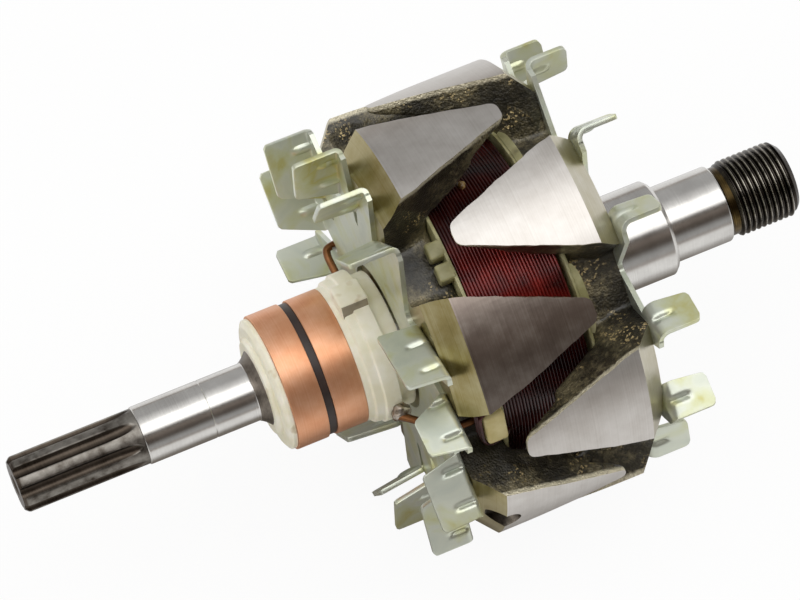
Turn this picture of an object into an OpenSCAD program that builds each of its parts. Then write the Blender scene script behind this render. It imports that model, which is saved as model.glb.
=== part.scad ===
// Rotor of a heavy-duty alternator with claw poles, two sheet-metal fans and a splined rear shaft.
// Millimetres. +X runs along the shaft to its threaded pulley end, +Z is up as the rotor lies.
// The origin is on the shaft's axis at the shoulder of the front bearing seat.
// Angles turn about +X, from the top towards -Y.

/* [Shaft] */
// Diameter of the front bearing seat
front_seat_d = 25; // [22:0.5:28]
// Length of the front bearing seat
front_seat_l = 17; // [12:0.5:22]
// Diameter of the pulley seat
pulley_seat_d = 20; // [17:0.5:21.5]
// Length of the pulley seat
pulley_seat_l = 15.8; // [10:0.1:24]
// Diameter of the undercut behind the thread
undercut_d = 18; // [15:0.1:18.5]
// Length of the undercut behind the thread
undercut_l = 1.9; // [1:0.1:4]
// Diameter over the thread
thread_d = 19.8; // [17:0.1:19.9]
// Length of the threaded end
thread_l = 16.8; // [10:0.1:24]
// Chamfer at the threaded end
thread_chamfer = 1.6; // [0.5:0.1:2.5]
// Chamfer at the end of the front bearing seat
seat_chamfer = 1.2; // [0.4:0.1:2]
// Diameter of the collar that the front bearing rests against
collar_d = 31; // [29:0.5:36]
// Length of that collar
collar_l = 3.8; // [2:0.1:8]
// Diameter of the shaft inside the poles
core_shaft_d = 24; // [22:0.5:24.5]
// Diameter of the shaft inside the slip ring carrier
carrier_shaft_d = 19.4; // [17:0.1:21]
// Diameter of the rear bearing seat
rear_seat_d = 15; // [13:0.5:17]
// Length of the rear bearing seat
rear_seat_l = 29.7; // [20:0.1:40]
// Length of the flare between the rear seat and the carrier
flare_l = 1.9; // [1:0.1:4]
// Diameter over the spline teeth
spline_d = 14.4; // [12.6:0.1:14.6]
// Diameter at the bottom of the spline grooves
spline_root_d = 12; // [10.6:0.1:12.4]
// Length of the spline with its run-out
spline_l = 32.5; // [20:0.5:45]
// Number of spline teeth
spline_teeth = 8; // [6:1:10]
// Width of one spline groove
spline_groove_w = 3; // [2:0.1:3.6]
// Radius of the cutter that ends each groove
spline_cutter_r = 28; // [18:1:40]
// Chamfer at the splined end
spline_chamfer = 1; // [0.4:0.1:1.4]

/* [Claw poles] */
// Diameter over the claws
claw_d = 110.4; // [106:0.2:116]
// Number of claws on each pole
claws = 6; // [4:1:7]
// Axial distance between the outer faces of the two poles
pole_span = 50.8; // [46:0.2:60]
// Axial width of the space for the winding
winding_w = 27; // [22:0.5:32]
// Distance from the mid-plane to the tip of a claw
claw_tip_x = 12.6; // [9:0.1:16]
// Axial length of the chamfer at a claw's root
root_chamfer_x = 5.8; // [3:0.1:8]
// Radial depth of the chamfer at a claw's root
root_chamfer_r = 7.2; // [3:0.1:10]
// Width of the valley between two claws at their roots
valley_w = 23; // [20:0.1:30]
// Half width of a claw at its tip
claw_tip_hw = 3.5; // [2.6:0.1:5]
// Rounding of the corners of a claw's tip
claw_tip_r = 2; // [0.5:0.1:2.5]
// Draft of a claw's sides, as the share of its width lost on each millimetre inwards
claw_draft = 0.013; // [0.004:0.001:0.016]
// Thickness of a claw at its tip
claw_tip_t = 4.4; // [3:0.1:7]
// Thickness of a claw at its root
claw_root_t = 13.6; // [11:0.1:15]
// Depth of the valleys between two claws
valley_depth = 18.2; // [15:0.1:22]
// Angle of the first claw of the rear pole
rear_claw_angle = -23.6; // [-30:0.1:30]
// Diameter of the drilling that balances the rotor
balance_hole_d = 8; // [5:0.5:10]
// Depth of that drilling
balance_hole_depth = 4.5; // [2:0.1:8]
// Share of the room between shaft and winding's outside that the iron core takes
core_share = 0.464; // [0.35:0.001:0.6]

/* [Winding] */
// Depth of the winding below the edge of the bobbin's flanges
coil_drop = 1; // [0.4:0.1:4]
// Wall of the bobbin
bobbin_wall = 1.2; // [0.8:0.1:2]
// Gap between the bobbin's flanges and the claws
flange_gap = 0.6; // [0.2:0.1:1.2]
// Width of each tab on the rear flange
tab_w = 5; // [3:0.1:5.5]
// Gap between a pair of tabs
tab_gap = 1; // [0.4:0.1:2]
// Length of the tabs
tab_l = 3.6; // [2:0.1:6]
// Width of the block that holds a winding end
anchor_w = 9; // [5:0.1:10]
// Height of that block over the valley floor
anchor_h = 8; // [5:0.1:9]
// Length of that block
anchor_l = 5.4; // [3:0.1:8]
// Number of the valley that holds the first winding end
anchor_valley = 1; // [0:1:2]

/* [Slip rings] */
// Outer diameter of the copper rings
ring_d = 35.1; // [33:0.1:38]
// Inner diameter of the copper rings
ring_bore_d = 28; // [25:0.1:30]
// Width of one copper ring
ring_w = 8.2; // [6:0.1:11]
// Width of the insulator between the rings
ring_gap = 2.1; // [1.4:0.1:4]
// Diameter of that insulator
gap_d = 34.2; // [31:0.1:35]
// Diameter of the carrier's end collar
end_collar_d = 34; // [31:0.1:35]
// Width of that collar
end_collar_w = 2.1; // [1:0.1:4]
// Diameter of the carrier's end boss
boss_d = 25.4; // [22:0.1:30]
// Length of that boss
boss_l = 1.3; // [0.6:0.1:3]
// Diameter of the carrier's flange
carrier_flange_d = 38.8; // [36:0.1:42]
// Width of that flange
carrier_flange_w = 8.4; // [5:0.1:10]
// Diameter of the carrier's foot next to the fan
carrier_foot_d = 35; // [30:0.1:37]
// Width of the foot
carrier_foot_w = 4.2; // [3:0.1:8]
// Diameter of the step on the flange's ring side
carrier_step_d = 37.2; // [35.2:0.1:38]
// Width of the lugs that cover the ring terminals
lug_w = 8.6; // [6:0.1:11]
// Length of those lugs
lug_l = 7.4; // [4:0.1:8]
// Height of the lugs over the flange
lug_h = 2.2; // [1:0.1:3]
// Turn from a lug to the valley after it
lug_turn = 20; // [10:1:30]

/* [Fans] */
// Thickness of the fan sheet
fan_t = 1.5; // [1:0.1:2]
// Radial step from the claws in to the blade tips
fan_inset = 0.2; // [0:0.1:3]
// Radius of the notches between the fan's arms
notch_r = 33; // [28:0.5:36]
// Diameter of the hole in the fan plates
fan_hole_d = 38; // [34:0.5:44]
// Inner radius of the bend between arm and blade
bend_r = 0.5; // [0.3:0.1:2.5]
// Width of an arm's blunt end beside the bend
arm_flat = 1.6; // [1:0.1:3]
// Lean of the blades from the radius at their tips
blade_lean = 31; // [15:1:40]
// Height of the rear blades over the pole face
rear_blade_h = 12.6; // [8:0.1:15]
// Length of the rear blades along the bend
rear_blade_l = 19.3; // [12:0.1:21]
// Slant of the rear blades' inner edge
rear_blade_slant = 4.5; // [1:0.1:8]
// Height of the front blades over the pole face
front_blade_h = 11.5; // [8:0.1:15]
// Length of the front blades along the bend
front_blade_l = 9.6; // [7:0.1:14]
// Slant of the front blades' inner edge
front_blade_slant = 1; // [0.5:0.1:4]
// Rounding of the blades' free corners
blade_corner_r = 1; // [0.5:0.1:4]
// Width of the darts pressed across the bends
dart_w = 1.8; // [1:0.1:2.5]
// Reach of the darts from the bend along the blade
dart_reach = 3.8; // [1.5:0.1:5]
// Reach of the darts from the bend along the arm
dart_foot = 1; // [0.5:0.1:2.5]
// Places of the darts along the rear bends, from the tips
rear_darts = [4.2, 13.1];
// Places of the darts along the front bends, from the tips
front_darts = [4.8];

/* [Leads] */
// Diameter of the copper leads
lead_d = 2; // [1.2:0.1:2.6]
// Diameter of the holes in the rear fan that the leads pass through
lead_hole_d = 5; // [3.5:0.1:6]
// Turn from a terminal post to the valley that its lead enters
post_turn = 22; // [10:1:40]
// Diameter of the terminal posts on the carrier
post_d = 3.6; // [2.8:0.1:4.5]
// Length of the terminal posts
post_l = 4; // [2.5:0.1:6]
// Diameter of the winding wire that shows at the anchors
tail_d = 1.1; // [0.7:0.1:1.5]

/* [Hidden] */
$fn = 64;
// Radial gap left at pressed and seated fits
fit_gap = 0.02;
// Overshoot of cutting bodies
cut = 1;
// Angle at which turned surfaces start
seam_turn = 22.5;
// Overlap of joined bodies
lap = 0.4;
// Height of the winding ends on their blocks, as a share of the block
tail_share = 0.8;

// Stations along X
front_face_x = -collar_l - fan_t;
mid_x = front_face_x - pole_span / 2;
rear_face_x = mid_x - pole_span / 2;
rear_plate_x = rear_face_x - fan_t;
carrier_x = rear_plate_x - fit_gap;
foot_x = carrier_x - carrier_foot_w;
flange_x = foot_x - carrier_flange_w;
ring_a_x = flange_x - ring_w;
gap_x = ring_a_x - ring_gap;
ring_b_x = gap_x - ring_w;
end_collar_x = ring_b_x - end_collar_w;
boss_x = end_collar_x - boss_l;
rear_seat_x = boss_x - flare_l;
spline_x = rear_seat_x - rear_seat_l;
spline_end_x = spline_x - spline_l;
pulley_x = front_seat_l;
undercut_x = pulley_x + pulley_seat_l;
thread_x = undercut_x + undercut_l;
thread_end_x = thread_x + thread_l;

claw_r = claw_d / 2;
claw_inner_r = claw_r - claw_root_t;
claw_root_hw = claw_r * sin(180 / claws) - valley_w / 2;
valley_r = claw_r - valley_depth;
flange_r = claw_inner_r - flange_gap;
coil_r = flange_r - coil_drop;
core_d = core_shaft_d + 2 * core_share * (coil_r - core_shaft_d / 2);
fan_r = claw_r - fan_inset;
claw_pitch = 360 / claws;
half_span = pole_span / 2;
half_winding = winding_w / 2;
valley_angle = rear_claw_angle + claw_pitch / 2;
anchor_angle = valley_angle + anchor_valley * claw_pitch;
lead_r = valley_r + lead_d;
post_x = foot_x - carrier_flange_w / 4;
fan_turns = [-67, -34.5, -16, 3.5, 38, 58.5, 86, 114, 146, 164, 184, 211, 237, 268.6];
front_fan_turns = [-67, -42, -8, 19, 49.4, 78.7, 126, 152, 178, 204, 234, 264];
// Turn from a blade's tip back to the notch before it
notch_turn = 20;
// Turn from a blade's tip back to the root of its arm
arm_turn = 15;

steel = "#b9b7b2";
iron = "#8f8a80";
zinc = "#d5d8c8";
copper = "#d98a5f";
ivory = "#e9e4d2";
enamel = "#6d1a17";
dark = "#332722";

// Turns a profile drawn as [x, r] about the shaft's axis, starting between the cuts that pieces have
module turned(profile) {
    rotate([seam_turn, 0, 0]) rotate([0, 90, 0]) rotate([0, 0, 180])
        rotate_extrude() polygon([for (p = profile) [p[1], p[0]]]);
}

// A tube along X between two stations
module tube(x0, x1, r_in, r_out) {
    translate([x0, 0, 0]) rotate([0, 90, 0]) difference() {
        cylinder(h = x1 - x0, r = r_out);
        translate([0, 0, -cut]) cylinder(h = x1 - x0 + 2 * cut, r = r_in);
    }
}

// Turns what stands at the top to the given angle
module at(angle) {
    rotate([angle, 0, 0]) children();
}

// Point on a smooth curve through a list of points, at the share u of the way from point i to the next
function curve_at(points, i, u) = let (
        p0 = points[max(i - 1, 0)],
        p1 = points[i],
        p2 = points[i + 1],
        p3 = points[min(i + 2, len(points) - 1)])
    (2 * p1 + (p2 - p0) * u + (2 * p0 - 5 * p1 + 4 * p2 - p3) * pow(u, 2)
        + (3 * p1 - p0 - 3 * p2 + p3) * pow(u, 3)) / 2;

function curve(points, steps) = concat(
    [for (i = [0 : len(points) - 2], k = [0 : steps - 1]) curve_at(points, i, k / steps)],
    [points[len(points) - 1]]);

function unit(v) = v / norm(v);

// A round wire along a smooth curve, whose rings are set square to the given side direction
module wire(points, d, side, sides = 10, steps = 4) {
    path = curve(points, steps);
    last = len(path) - 1;
    rings = [for (i = [0 : last])
        let (t = unit(path[min(i + 1, last)] - path[max(i - 1, 0)]),
            n = unit(cross(t, side)),
            b = cross(t, n))
        for (k = [0 : sides - 1])
            path[i] + d / 2 * (cos(k * 360 / sides) * n + sin(k * 360 / sides) * b)];
    polyhedron(rings, concat(
        [[for (k = [0 : sides - 1]) k]],
        [for (i = [0 : last - 1], k = [0 : sides - 1]) let (next = (k + 1) % sides)
            [i * sides + k, (i + 1) * sides + k, (i + 1) * sides + next, i * sides + next]],
        [[for (k = [sides - 1 : -1 : 0]) last * sides + k]]));
}

module spline_groove() {
    depth_r = spline_root_d / 2;
    straight = spline_l - sqrt(pow(spline_cutter_r, 2) - pow(spline_cutter_r - spline_d / 2 + depth_r, 2));
    translate([spline_end_x - cut, -spline_groove_w / 2, depth_r])
        cube([straight + cut, spline_groove_w, spline_d]);
    translate([spline_end_x + straight, spline_groove_w / 2, depth_r + spline_cutter_r]) rotate([90, 0, 0])
        cylinder(h = spline_groove_w, r = spline_cutter_r);
}

module shaft() {
    color(steel) difference() {
        turned([
            [spline_end_x, 0],
            [spline_end_x, spline_d / 2 - spline_chamfer],
            [spline_end_x + spline_chamfer, spline_d / 2],
            [spline_x, spline_d / 2],
            [spline_x, rear_seat_d / 2],
            [rear_seat_x, rear_seat_d / 2],
            [boss_x, carrier_shaft_d / 2],
            [rear_plate_x, carrier_shaft_d / 2],
            [rear_plate_x, core_shaft_d / 2],
            [-collar_l, core_shaft_d / 2],
            [-collar_l, collar_d / 2],
            [0, collar_d / 2],
            [0, front_seat_d / 2],
            [pulley_x - seat_chamfer, front_seat_d / 2],
            [pulley_x, front_seat_d / 2 - seat_chamfer],
            [pulley_x, pulley_seat_d / 2],
            [undercut_x, pulley_seat_d / 2],
            [undercut_x, undercut_d / 2],
            [thread_x, undercut_d / 2],
            [thread_x, thread_d / 2],
            [thread_end_x - thread_chamfer, thread_d / 2],
            [thread_end_x, thread_d / 2 - thread_chamfer],
            [thread_end_x, 0]
        ]);
        for (i = [0 : spline_teeth - 1]) at(i * 360 / spline_teeth) spline_groove();
    }
}

// Outline of one claw seen from outside, its tip towards +X
function tip_corner(side) = [for (i = [0 : 4])
    let (turn = side > 0 ? 90 - i * 22.5 : -i * 22.5)
    [claw_tip_x - claw_tip_r + claw_tip_r * cos(turn),
        side * (claw_tip_hw - claw_tip_r) + claw_tip_r * sin(turn)]];

module claw_outline() {
    straight_x = -half_span + root_chamfer_x - cut;
    polygon(concat(
        [[-half_span - cut, claw_root_hw], [straight_x, claw_root_hw]],
        tip_corner(1),
        tip_corner(-1),
        [[straight_x, -claw_root_hw], [-half_span - cut, -claw_root_hw]]));
}

// One claw at the top, narrower inwards by its draft
module claw() {
    base_r = valley_r / 2;
    base_scale = 1 - claw_draft * (claw_r - base_r);
    top_scale = 1 + claw_draft * cut;
    translate([0, 0, base_r])
        linear_extrude(claw_r - base_r + cut, scale = [1, top_scale / base_scale], slices = 1, $fn = 0)
            scale([1, base_scale]) claw_outline();
}

// One pole with its disc and claws, claws pointing towards +X, its middle at the mid-plane
module pole() {
    intersection() {
        turned([
            [-half_span, core_shaft_d / 2 + fit_gap],
            [-half_span, claw_r - root_chamfer_r],
            [-half_span + root_chamfer_x, claw_r],
            [claw_tip_x, claw_r],
            [claw_tip_x, claw_r - claw_tip_t],
            [-half_winding, claw_inner_r],
            [-half_winding, core_shaft_d / 2 + fit_gap]
        ]);
        union() {
            translate([-half_span - cut, 0, 0]) rotate([0, 90, 0]) cylinder(h = pole_span, r = valley_r);
            for (i = [0 : claws - 1]) at(i * claw_pitch) claw();
        }
    }
}

module rear_pole() {
    color(iron) difference() {
        translate([mid_x, 0, 0]) at(rear_claw_angle) pole();
        at(rear_claw_angle + 2 * claw_pitch)
            translate([rear_face_x + root_chamfer_x, 0, claw_r - balance_hole_depth])
                cylinder(h = balance_hole_depth + cut, d = balance_hole_d);
    }
}

module front_pole() {
    color(iron) translate([mid_x, 0, 0]) mirror([1, 0, 0]) at(valley_angle) pole();
}

module pole_core() {
    color(iron) tube(mid_x - half_winding, mid_x + half_winding, core_shaft_d / 2 + fit_gap, core_d / 2);
}

// Two tabs side by side behind the rear flange, lying on the valley floor at the top
module flange_tabs() {
    for (side = [-1, 1])
        translate([-half_winding - tab_l, side * (tab_w + tab_gap) / 2 - tab_w / 2, valley_r + fit_gap])
            cube([tab_l + bobbin_wall, tab_w, flange_r - valley_r]);
}

module bobbin() {
    hub_r = core_d / 2 + fit_gap;
    color(ivory) {
        translate([mid_x, 0, 0]) turned([
            [-half_winding, hub_r],
            [-half_winding, flange_r],
            [-half_winding + bobbin_wall, flange_r],
            [-half_winding + bobbin_wall, hub_r + bobbin_wall],
            [half_winding - bobbin_wall, hub_r + bobbin_wall],
            [half_winding - bobbin_wall, flange_r],
            [half_winding, flange_r],
            [half_winding, hub_r]
        ]);
        translate([mid_x, 0, 0]) for (turn = [0, 180]) at(valley_angle + turn) flange_tabs();
    }
}

module field_coil() {
    inner = core_d / 2 + bobbin_wall + 2 * fit_gap;
    edge = half_winding - bobbin_wall - fit_gap;
    color(enamel) tube(mid_x - edge, mid_x + edge, inner, coil_r);
}

// Section across the bend: the blade stands towards -X, the arm lies towards -Y
module bend_section(height) {
    outer = bend_r + fan_t;
    translate([-height, -fan_t]) square([height - outer, fan_t]);
    translate([-outer, -outer]) intersection() {
        difference() {
            circle(outer);
            circle(bend_r);
        }
        square(outer);
    }
}

// Point at an angle and radius in the plane of a fan, drawn with the rotor's top at +Y
function polar(turn, r) = [-r * sin(turn), r * cos(turn)];

// The same point as seen from the tip of a blade, across and along its chord
function from_tip(turn, r) = let (p = polar(turn, r) - polar(0, fan_r))
    [-p * polar(blade_lean + 90, 1), p * polar(blade_lean, 1)];

// One blade with its bend and the flat arm that carries it, tip at the origin and chord along -Z
module blade(height, length, slant, pitch, darts) {
    outer = bend_r + fan_t;
    sunk = fan_t - lap;
    corner = outer - (bend_r + fan_t / 2) / sqrt(2);
    difference() {
        translate([0, 0, -length]) linear_extrude(length) bend_section(height);
        translate([0, cut, 0]) rotate([90, 0, 0]) linear_extrude(fan_t + 2 * cut) {
            polygon([[-height - cut, -length - cut], [-outer, -length - cut], [-outer, -length],
                [-height, -length + slant], [-height - cut, -length + slant]]);
            difference() {
                translate([-height - cut, -blade_corner_r]) square([blade_corner_r + cut, blade_corner_r + cut]);
                translate([-height + blade_corner_r, -blade_corner_r]) circle(blade_corner_r);
            }
        }
    }
    translate([-fan_t, 0, 0]) rotate([90, 0, 90]) linear_extrude(fan_t)
        polygon([[-outer, 0], [-outer - arm_flat, 0], from_tip(pitch - notch_turn, notch_r - lap),
            from_tip(-arm_turn, notch_r - lap), [-outer, -length]]);
    for (place = darts) translate([0, 0, -place - dart_w / 2]) linear_extrude(dart_w)
        polygon([[-sunk, -outer - dart_foot], [-corner, -corner], [-outer - dart_reach, -sunk]]);
}

// A fan on the rear face of a pole, its back at x = 0 and its blades towards -X
module fan(turns, height, length, slant, darts) {
    last = len(turns) - 1;
    difference() {
        union() {
            translate([-fan_t, 0, 0]) rotate([90, 0, 90]) linear_extrude(fan_t) circle(notch_r);
            for (i = [0 : last]) at(turns[i]) translate([0, 0, fan_r]) at(blade_lean)
                blade(height, length, slant, (i < last ? turns[i + 1] : turns[0] + 360) - turns[i], darts);
        }
        translate([-fan_t - cut, 0, 0]) rotate([0, 90, 0]) cylinder(h = fan_t + 2 * cut, d = fan_hole_d);
    }
}

module rear_fan() {
    color(zinc) difference() {
        translate([rear_face_x, 0, 0])
            fan(fan_turns, rear_blade_h, rear_blade_l, rear_blade_slant, rear_darts);
        for (turn = [0, 180]) at(anchor_angle + turn) translate([rear_face_x - 2 * fan_t, 0, lead_r])
            rotate([0, 90, 0]) cylinder(h = 3 * fan_t, d = lead_hole_d);
    }
}

module front_fan() {
    color(zinc) translate([front_face_x, 0, 0]) mirror([1, 0, 0])
        fan(front_fan_turns, front_blade_h, front_blade_l, front_blade_slant, front_darts);
}

module slip_ring_carrier() {
    bore_r = carrier_shaft_d / 2 + fit_gap;
    seat_r = ring_bore_d / 2 - fit_gap;
    color(ivory) {
        for (turn = [0, 180]) at(valley_angle - lug_turn + turn)
            translate([foot_x - lug_l, -lug_w / 2, seat_r])
                cube([lug_l + lap, lug_w, carrier_flange_d / 2 + lug_h - seat_r]);
        turned([
        [boss_x, bore_r],
        [boss_x, boss_d / 2],
        [end_collar_x, boss_d / 2],
        [end_collar_x, end_collar_d / 2],
        [ring_b_x, end_collar_d / 2],
        [ring_b_x, seat_r],
        [flange_x, seat_r],
        [flange_x, carrier_foot_d / 2],
        [flange_x + carrier_flange_w / 4, carrier_foot_d / 2],
        [flange_x + carrier_flange_w / 4, carrier_step_d / 2],
        [flange_x + carrier_flange_w / 2, carrier_step_d / 2],
        [flange_x + carrier_flange_w / 2, carrier_flange_d / 2],
        [foot_x, carrier_flange_d / 2],
        [foot_x, carrier_foot_d / 2],
        [carrier_x, carrier_foot_d / 2],
        [carrier_x, bore_r]
        ]);
    }
}

module rear_slip_ring() {
    color(copper) tube(ring_b_x, gap_x, ring_bore_d / 2, ring_d / 2);
}

module front_slip_ring() {
    color(copper) tube(ring_a_x, flange_x, ring_bore_d / 2, ring_d / 2);
}

module ring_insulator() {
    color(dark) tube(gap_x, ring_a_x, ring_bore_d / 2, gap_d / 2);
}

// Point of a lead at a station, an angle past its valley and a radius
function spot(x, turn, r) = [x, -r * sin(turn), r * cos(turn)];

module post() {
    color(copper) at(post_turn) translate([post_x, 0, carrier_flange_d / 2 - fit_gap])
        cylinder(h = post_l, d = post_d, $fn = 32);
}

// Lead from its post, across the fan and through its hole, into the valley at the top
module lead() {
    color(copper) wire([
        spot(post_x, post_turn, carrier_flange_d / 2 + post_l / 2),
        spot(rear_plate_x - lead_d, post_turn / 2, (carrier_flange_d / 2 + post_l / 2 + lead_r) / 2),
        spot(rear_plate_x - lead_d, 0, lead_r),
        spot(mid_x - half_winding - anchor_l - fit_gap, 0, lead_r)], lead_d, [0, -1, 1]);
}

// Block behind the rear flange, lying on the valley floor at the top
module anchor() {
    color(ivory) translate([mid_x - half_winding - anchor_l, -anchor_w / 2, valley_r + fit_gap])
        cube([anchor_l - fit_gap, anchor_w, anchor_h]);
}

// Loop of winding wire that comes over the flange and round the block
module tail() {
    side = anchor_w / 2 + tail_d;
    back_x = mid_x - half_winding - anchor_l - tail_d;
    loop_r = valley_r + anchor_h * tail_share;
    over_r = max(flange_r, valley_r) + tail_d;
    color(enamel) wire([
        [mid_x - half_winding + bobbin_wall + tail_d, side, coil_r + tail_d / 2],
        [mid_x - half_winding, side, over_r],
        [back_x + tail_d, side, loop_r],
        [back_x, side - tail_d, loop_r],
        [back_x, tail_d - side, loop_r],
        [back_x + tail_d, -side, loop_r],
        [mid_x - half_winding - tail_d, -side, over_r]], tail_d, [0, 0, 1]);
}

module start_post() { at(anchor_angle) post(); }
module finish_post() { at(anchor_angle + 180) mirror([0, 1, 0]) post(); }
module start_lead() { at(anchor_angle) lead(); }
module finish_lead() { at(anchor_angle + 180) mirror([0, 1, 0]) lead(); }
module start_anchor() { at(anchor_angle) anchor(); }
module finish_anchor() { at(anchor_angle + 180) anchor(); }
module start_tail() { at(anchor_angle) tail(); }
module finish_tail() { at(anchor_angle + 180) tail(); }

shaft();
rear_pole();
front_pole();
pole_core();
bobbin();
field_coil();
rear_fan();
front_fan();
slip_ring_carrier();
rear_slip_ring();
front_slip_ring();
ring_insulator();
start_post();
finish_post();
start_lead();
finish_lead();
start_anchor();
finish_anchor();
start_tail();
finish_tail();
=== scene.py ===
import math

import bmesh
import bpy
from mathutils import Matrix, Vector, noise


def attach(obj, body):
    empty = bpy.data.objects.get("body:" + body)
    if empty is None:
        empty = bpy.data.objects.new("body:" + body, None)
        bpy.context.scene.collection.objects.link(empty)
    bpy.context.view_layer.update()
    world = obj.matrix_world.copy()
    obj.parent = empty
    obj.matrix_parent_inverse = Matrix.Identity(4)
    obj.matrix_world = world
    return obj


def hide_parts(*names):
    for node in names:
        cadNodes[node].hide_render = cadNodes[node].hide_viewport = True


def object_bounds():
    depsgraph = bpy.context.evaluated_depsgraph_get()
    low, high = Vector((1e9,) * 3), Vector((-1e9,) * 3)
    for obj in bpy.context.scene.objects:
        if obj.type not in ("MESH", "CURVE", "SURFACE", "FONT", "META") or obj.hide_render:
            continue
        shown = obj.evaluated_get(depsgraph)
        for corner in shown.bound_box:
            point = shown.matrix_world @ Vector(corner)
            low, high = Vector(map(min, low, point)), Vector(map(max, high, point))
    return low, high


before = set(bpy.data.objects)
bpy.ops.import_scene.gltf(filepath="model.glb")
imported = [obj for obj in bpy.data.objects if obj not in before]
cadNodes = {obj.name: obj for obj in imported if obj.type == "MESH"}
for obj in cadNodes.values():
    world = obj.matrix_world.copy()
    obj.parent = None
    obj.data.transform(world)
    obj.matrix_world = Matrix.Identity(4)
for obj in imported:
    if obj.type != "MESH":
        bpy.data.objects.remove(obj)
cadBox = [[float(v) for v in corner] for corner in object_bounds()]
scene = bpy.context.scene
mm = 0.001
print("frame:", len(cadNodes), "nodes")

# stations along the shaft in mm, the same as in the solids
station = {
    "threadEnd": 51.5, "thread": 34.7, "undercut": 32.8, "pulley": 17.0, "shoulder": 0.0, "collar": -3.8,
    "frontFace": -5.3, "mid": -30.7, "rearFace": -56.1, "rearPlate": -57.6, "foot": -61.82, "flange": -70.22,
    "ringA": -78.42, "gap": -80.52, "ringB": -88.72, "endCollar": -90.82, "boss": -92.12, "rearSeat": -94.02,
    "spline": -123.72, "splineEnd": -156.22,
}
clawRadius = 55.2


def linearColour(code):
    parts = [int(code[i:i + 2], 16) / 255 for i in (1, 3, 5)]
    return tuple(c / 12.92 if c <= 0.04045 else ((c + 0.055) / 1.055) ** 2.4 for c in parts) + (1.0,)


# settings named as an input fill that input, the others are the node's own
# a link comes from a socket, or from a node's first output
def setNode(tree, node, settings=None, links=None):
    for key, value in (settings or {}).items():
        if key == "stops":
            ramp = node.color_ramp
            while len(ramp.elements) < len(value):
                ramp.elements.new(0.5)
            for element, (place, colour) in zip(ramp.elements, value):
                element.position = place
                flat = colour if isinstance(colour, tuple) else (colour,) * 3
                element.color = linearColour(colour) if isinstance(colour, str) else flat + (1,)
        elif isinstance(key, int) or key in node.inputs:
            node.inputs[key].default_value = value
        else:
            setattr(node, key, value)
    for key, source in (links or {}).items():
        socket = source.outputs[0] if isinstance(source, bpy.types.Node) else source
        tree.links.new(socket, node.inputs[key])
    return node


def addNode(tree, kind, settings=None, links=None):
    return setNode(tree, tree.nodes.new("ShaderNode" + kind), settings, links)


def emptyTree(owner):
    owner.use_nodes = True
    owner.node_tree.nodes.clear()
    return owner.node_tree


def newMaterial(name):
    material = bpy.data.materials.new(name)
    tree = emptyTree(material)
    shader = addNode(tree, "BsdfPrincipled")
    addNode(tree, "OutputMaterial", {}, {"Surface": shader})
    place = addNode(tree, "TexCoord").outputs["Object"]
    return material, tree, shader, place


# distance from the shaft's axis, in mm
def axisDistance(tree, place):
    flat = addNode(tree, "VectorMath", {"operation": "MULTIPLY", 1: (0, 1000, 1000)}, {0: place})
    return addNode(tree, "VectorMath", {"operation": "LENGTH"}, {0: flat}).outputs["Value"]


# a turned face shows fine rings round the axis, which smear its highlights along the shaft
def turnedMetal(name, look):
    material, tree, shader, place = newMaterial(name)
    axial = addNode(tree, "SeparateXYZ", {}, {0: place}).outputs["X"]
    rings = addNode(tree, "Math", {"operation": "MULTIPLY", 1: 1000 / look["ringMm"]}, {0: axial})
    lines = addNode(tree, "TexNoise",
                    {"noise_dimensions": "1D", "Scale": 1.0, "Detail": 3.0, "Roughness": 0.7}, {"W": rings})
    cloud = addNode(tree, "TexNoise",
                    {"Scale": 1000 / look["cloudMm"], "Detail": 5.0, "Roughness": 0.6}, {"Vector": place})
    mixed = addNode(tree, "Math", {"operation": "MULTIPLY_ADD", 1: 0.45}, {0: lines, 2: cloud})
    colour = addNode(tree, "ValToRGB", {"stops": look["tones"]}, {0: mixed})
    if "crest" in look:  # worn bright where it stands proud, and on the thread's crests partly a painted highlight
        low, high, bright = look["crest"]
        proud = addNode(tree, "MapRange", {"From Min": low, "From Max": high}, {0: axisDistance(tree, place)})
        patchy = addNode(tree, "MapRange", {"From Min": 0.3, "From Max": 0.6}, {0: cloud})
        wearAndHighlight = addNode(tree, "Math", {"operation": "MULTIPLY"}, {0: proud, 1: patchy})
        colour = addNode(tree, "Mix", {"data_type": "RGBA", 7: linearColour(bright)},
                         {0: wearAndHighlight, 6: colour}).outputs[2]
    smooth, coarse = look["rough"]
    rough = addNode(tree, "MapRange", {"From Min": 0.3, "From Max": 1.0, "To Min": smooth, "To Max": coarse},
                    {0: mixed})
    grain = addNode(tree, "Bump", {"Strength": look["bump"], "Distance": 0.02 * mm}, {"Height": lines})
    setNode(tree, shader, {"Metallic": look.get("metallic", 1.0)},
            {"Base Color": colour, "Roughness": rough, "Normal": grain})
    return material


# ground bearing steel: neutral grey with sharp streaks
# its rings of 0.3 mm are coarser than real grinding, so that they show
groundSteel = turnedMetal("groundSteel", {
    "ringMm": 0.3, "cloudMm": 9, "tones": [(0.35, "#b7b4b0"), (0.95, "#d9d7d3")],
    "rough": (0.15, 0.24), "bump": 0.05})
# blued steel of the thread: black flanks, crests painted pale: partly rubbed bright, partly a painted
# highlight
bluedThread = turnedMetal("bluedThread", {
    "ringMm": 0.4, "cloudMm": 3, "tones": [(0.3, "#1c1a18"), (1.0, "#46403a")],
    "rough": (0.16, 0.32), "bump": 0.1,
    "crest": (9.6, 9.88, "#aaa59c")})
# hardened spline: brown-black in the grooves, grey on the lands
hardenedSpline = turnedMetal("hardenedSpline", {
    "ringMm": 0.5, "cloudMm": 4, "tones": [(0.3, "#2a231c"), (1.0, "#5a5148")],
    "rough": (0.25, 0.45), "bump": 0.12,
    "crest": (6.9, 7.18, "#8f8b84")})
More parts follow.
